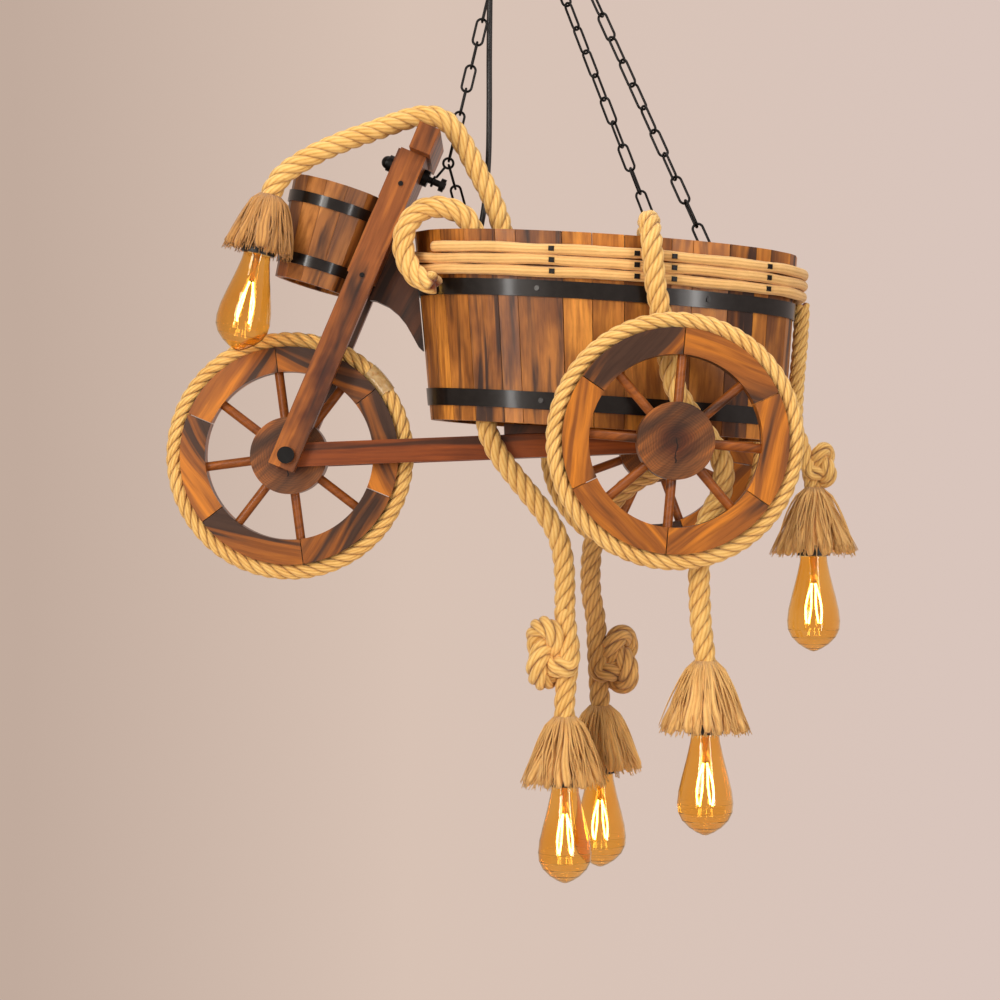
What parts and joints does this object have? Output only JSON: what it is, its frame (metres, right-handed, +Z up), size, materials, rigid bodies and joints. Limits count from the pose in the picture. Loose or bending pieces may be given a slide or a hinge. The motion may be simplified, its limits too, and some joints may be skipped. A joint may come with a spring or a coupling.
{
  "type": "wagon wheel chandelier",
  "caption": "Ceiling light shaped as a wooden tricycle: rope-tyred spoked wheels, a hooped oval tub and a small bucket, hung by chains, with ropes ending in frayed skirts over amber bulbs.",
  "frame": {"origin": "centre of the ceiling cup's top face, which lies on the ceiling", "axes": "+X from the front wheel towards the rear wheels, +Y from the near rear wheel to the far one, along the axles, +Z up into the ceiling"},
  "size_m": [0.8295, 0.41, 1.157],
  "materials": {
    "black_metal": "satin black",
    "steel": "zinc plated",
    "black_plastic": "matte black",
    "stave_wood": "varnished, burnt grain",
    "dark_wood": "dark varnish",
    "fork_wood": "varnished",
    "bucket_wood": "varnished",
    "wheel_wood": "burnt pine, varnished",
    "hub_wood": "end grain, varnished",
    "spoke_wood": "varnished",
    "hoop_iron": "glossy black band iron",
    "hemp_rope": "laid hemp fibre",
    "clear_tape": "clear glossy tape over rope",
    "amber_glass": "clear amber"
  },
  "bodies": {
    "root": {"ceiling_cup": "black_metal", "mounting_bar": "steel", "cup_screws": "steel", "chain_hooks": "black_metal", "cord_gland": "black_plastic", "power_cord": "black_plastic", "front_chain": "black_metal", "neck_chain": "black_metal", "near_rear_chain": "black_metal", "far_rear_chain": "black_metal", "tub_staves": "stave_wood", "tub_bottom": "dark_wood", "tub_hoops": "hoop_iron", "hoop_rivets": "hoop_iron", "tub_eyes": "black_metal", "rim_winding": "hemp_rope", "winding_pins": "black_metal", "front_loop": "hemp_rope", "wiring_box": "black_plastic", "box_lid": "black_plastic", "near_beam": "fork_wood", "far_beam": "fork_wood", "front_bolster": "dark_wood", "rear_bolster": "dark_wood", "frame_nails": "black_metal", "near_fork_leg": "fork_wood", "far_fork_leg": "fork_wood", "head_block": "fork_wood", "handlebar": "fork_wood", "head_bolt": "black_metal", "chain_hanger": "black_metal", "neck_board": "dark_wood", "bucket_staves_ring": "bucket_wood", "bucket_bottom": "dark_wood", "bucket_hoops": "hoop_iron", "front_axle": "black_metal", "rear_axle": "black_metal", "rear_axle_nuts": "steel", "rope_head": "hemp_rope", "rope_front_drop": "hemp_rope", "rope_far_drop": "hemp_rope", "rope_side_drop": "hemp_rope", "rope_rear_drop": "hemp_rope", "rope_skirts": "hemp_rope", "lamp_holders": "black_plastic", "bulb_caps": "steel", "bulb_glasses": "amber_glass"},
    "front_wheel": {"front_hub": "hub_wood", "front_spokes": "spoke_wood", "front_felloes": "wheel_wood", "front_tyre_rope": "hemp_rope", "tyre_sleeve": "clear_tape"},
    "rear_wheel_near": {"near_hub": "hub_wood", "near_spokes": "spoke_wood", "near_felloes": "wheel_wood", "near_tyre_rope": "hemp_rope"},
    "rear_wheel_far": {"far_hub": "hub_wood", "far_spokes": "spoke_wood", "far_felloes": "wheel_wood", "far_tyre_rope": "hemp_rope"}
  },
  "joints": [
    {"name": "front_wheel_turn", "type": "hinge", "parent": "root", "child": "front_wheel", "pos_m": [-0.276, 0, -0.649], "axis": [0, 1, 0], "continuous": true},
    {"name": "near_wheel_turn", "type": "hinge", "parent": "root", "child": "rear_wheel_near", "pos_m": [0.172, -0.185, -0.636], "axis": [0, 1, 0], "continuous": true},
    {"name": "far_wheel_turn", "type": "hinge", "parent": "root", "child": "rear_wheel_far", "pos_m": [0.172, 0.185, -0.636], "axis": [0, 1, 0], "continuous": true}
  ]
}
